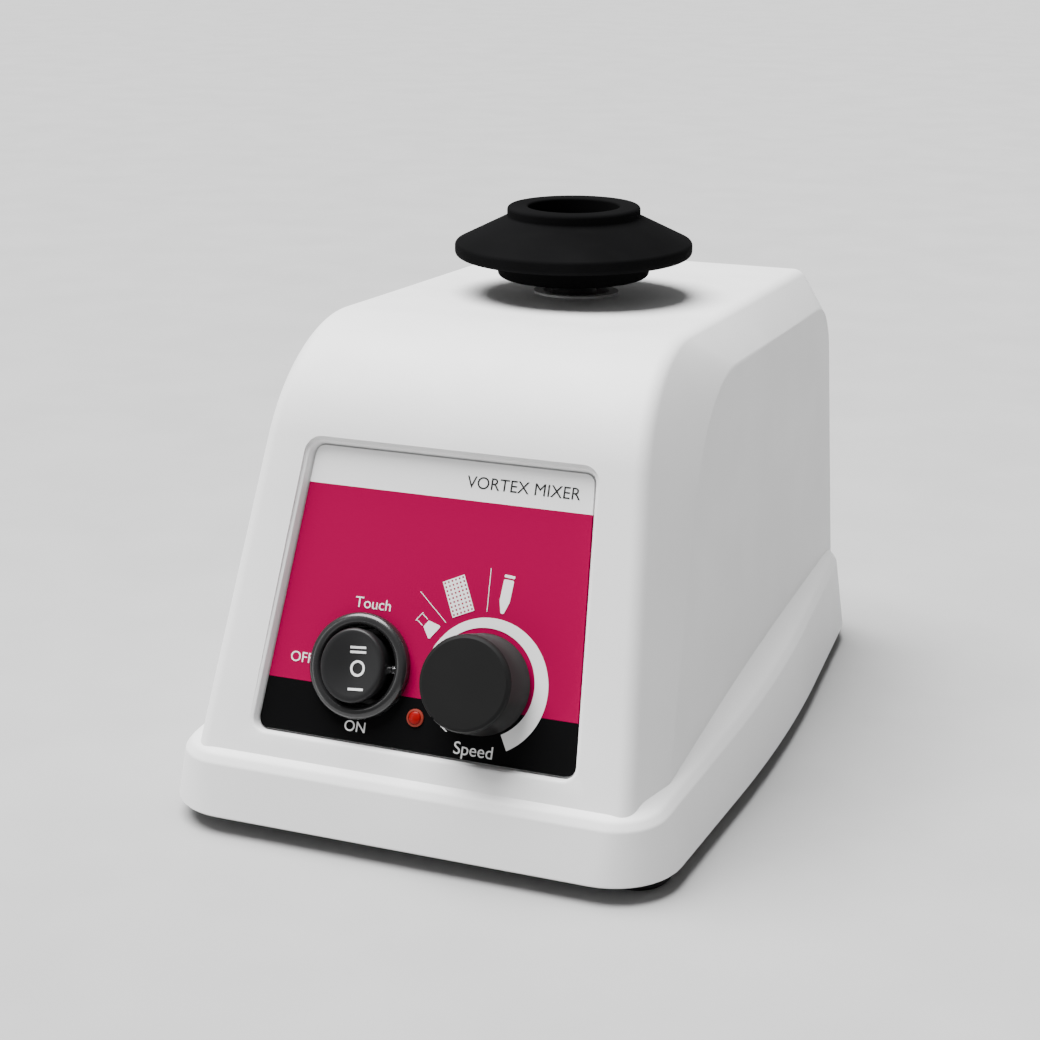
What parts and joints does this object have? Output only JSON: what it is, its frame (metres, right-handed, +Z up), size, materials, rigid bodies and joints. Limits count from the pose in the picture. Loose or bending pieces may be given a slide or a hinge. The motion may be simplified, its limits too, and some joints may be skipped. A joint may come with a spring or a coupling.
{
  "type": "vortex mixer",
  "caption": "Bench vortex mixer: tapered white housing on a wide base, sloping printed control panel with rocker switch and speed knob, and a flanged black rubber cup that orbits on top.",
  "frame": {"origin": "centre of the footprint on the surface the feet stand on", "axes": "+Z up, front control panel towards -Y, +X to the right seen from the front"},
  "size_m": [0.1224, 0.188, 0.126],
  "materials": {
    "white_housing": "fine satin moulded plastic",
    "steel_plate": "zinc plated pressed steel",
    "zinc_screw": "zinc plated",
    "foot_rubber": "matt moulded rubber",
    "panel_print": "printed polycarbonate film: white, magenta and black bands",
    "switch_black": "polished black plastic",
    "shaft_steel": "ground steel",
    "brass_parts": "plain brass",
    "red_lens": "clear red lens",
    "led_bezel": "pale red rim",
    "aluminium_parts": "turned aluminium",
    "knob_black": "satin black plastic",
    "inlet_black": "satin black plastic",
    "fuse_glass": "clear glass",
    "cup_rubber": "matt black rubber",
    "grommet_rubber": "pale moulded elastomer",
    "stator_steel": "stacked laminations",
    "copper_winding": "enamelled copper wire",
    "fan_plastic": "moulded nylon",
    "spring_steel": "drawn spring wire",
    "red_plunger": "red plastic",
    "board_green": "green solder mask",
    "board_parts": "moulded components",
    "lead_jacket": "insulated lead"
  },
  "bodies": {
    "base": {"housing_shell": "white_housing", "base_plate": "steel_plate", "base_plate_screws": "zinc_screw", "foot_front_right": "foot_rubber", "foot_front_left": "foot_rubber", "foot_rear_right": "foot_rubber", "foot_rear_left": "foot_rubber", "foot_screws": "zinc_screw", "foot_nuts": "zinc_screw", "front_panel": "panel_print", "switch_housing": "switch_black", "switch_pivot": "shaft_steel", "switch_terminals": "brass_parts", "led_lens": "red_lens", "led_holder": "led_bezel", "potentiometer_body": "aluminium_parts", "potentiometer_nut": "brass_parts", "inlet_socket": "inlet_black", "inlet_pins": "brass_parts", "inlet_screws": "zinc_screw", "inlet_nuts": "zinc_screw", "splash_grommet": "grommet_rubber", "guide_posts": "shaft_steel", "post_cap_screws": "zinc_screw", "cradle_springs": "spring_steel", "microswitch_bracket": "steel_plate", "microswitch_body": "switch_black", "control_board": "board_green", "board_standoffs": "brass_parts", "board_screws": "zinc_screw", "board_components": "board_parts", "switch_lead": "lead_jacket", "lead_clips": "fan_plastic"},
    "cradle": {"cradle_plate": "steel_plate", "cradle_bushes": "fan_plastic", "motor_stator": "stator_steel", "motor_windings": "copper_winding", "lower_end_bell": "aluminium_parts", "upper_end_bell": "aluminium_parts", "motor_bushes": "brass_parts", "motor_bolts": "zinc_screw", "motor_clamp_ring": "steel_plate"},
    "rotor": {"rotor_core": "stator_steel", "motor_shaft": "shaft_steel", "cooling_fan": "fan_plastic", "counterweight": "shaft_steel", "crank_pin": "shaft_steel", "orbit_bearing_inner": "shaft_steel"},
    "cup_head": {"rubber_cup": "cup_rubber", "cup_carrier": "aluminium_parts", "orbit_bearing_outer": "shaft_steel", "orbit_bearing_balls": "shaft_steel"},
    "rocker": {"switch_rocker": "switch_black"},
    "knob": {"speed_knob": "knob_black", "potentiometer_shaft": "aluminium_parts"},
    "drawer": {"fuse_drawer": "inlet_black", "fuse": "fuse_glass"},
    "plunger": {"microswitch_plunger": "red_plunger"}
  },
  "joints": [
    {"name": "cradle_press", "type": "slide", "parent": "base", "child": "cradle", "axis": [0, 0, 1], "range_m": [-0.0015, 0], "stiffness_N_per_m": 4000, "springref_m": 0.006, "deforming": ["cradle_springs"]},
    {"name": "motor_spin", "type": "hinge", "parent": "cradle", "child": "rotor", "pos_m": [0, 0.0138, 0.05], "axis": [0, 0, 1], "continuous": true},
    {"name": "cup_orbit", "type": "hinge", "parent": "rotor", "child": "cup_head", "pos_m": [0, 0.0118, 0.0985], "axis": [0, 0, 1], "continuous": true},
    {"name": "switch_rock", "type": "hinge", "parent": "base", "child": "rocker", "pos_m": [-0.0145, -0.07665, 0.03778], "axis": [1, 0, 0], "range_deg": [-8, 8]},
    {"name": "knob_turn", "type": "hinge", "parent": "base", "child": "knob", "pos_m": [0.0143, -0.08315, 0.04038], "axis": [0, 0.9285, -0.3714], "range_deg": [0, 290]},
    {"name": "fuse_drawer_slide", "type": "slide", "parent": "base", "child": "drawer", "axis": [0, 0.9967, 0.081], "range_m": [0, 0.012]},
    {"name": "plunger_press", "type": "slide", "parent": "base", "child": "plunger", "axis": [0, 0, 1], "range_m": [-0.0015, 0]}
  ],
  "couplings": [
    {"joint": "cup_orbit", "follows": "motor_spin", "ratio": -1},
    {"joint": "plunger_press", "follows": "cradle_press", "ratio": 1}
  ]
}
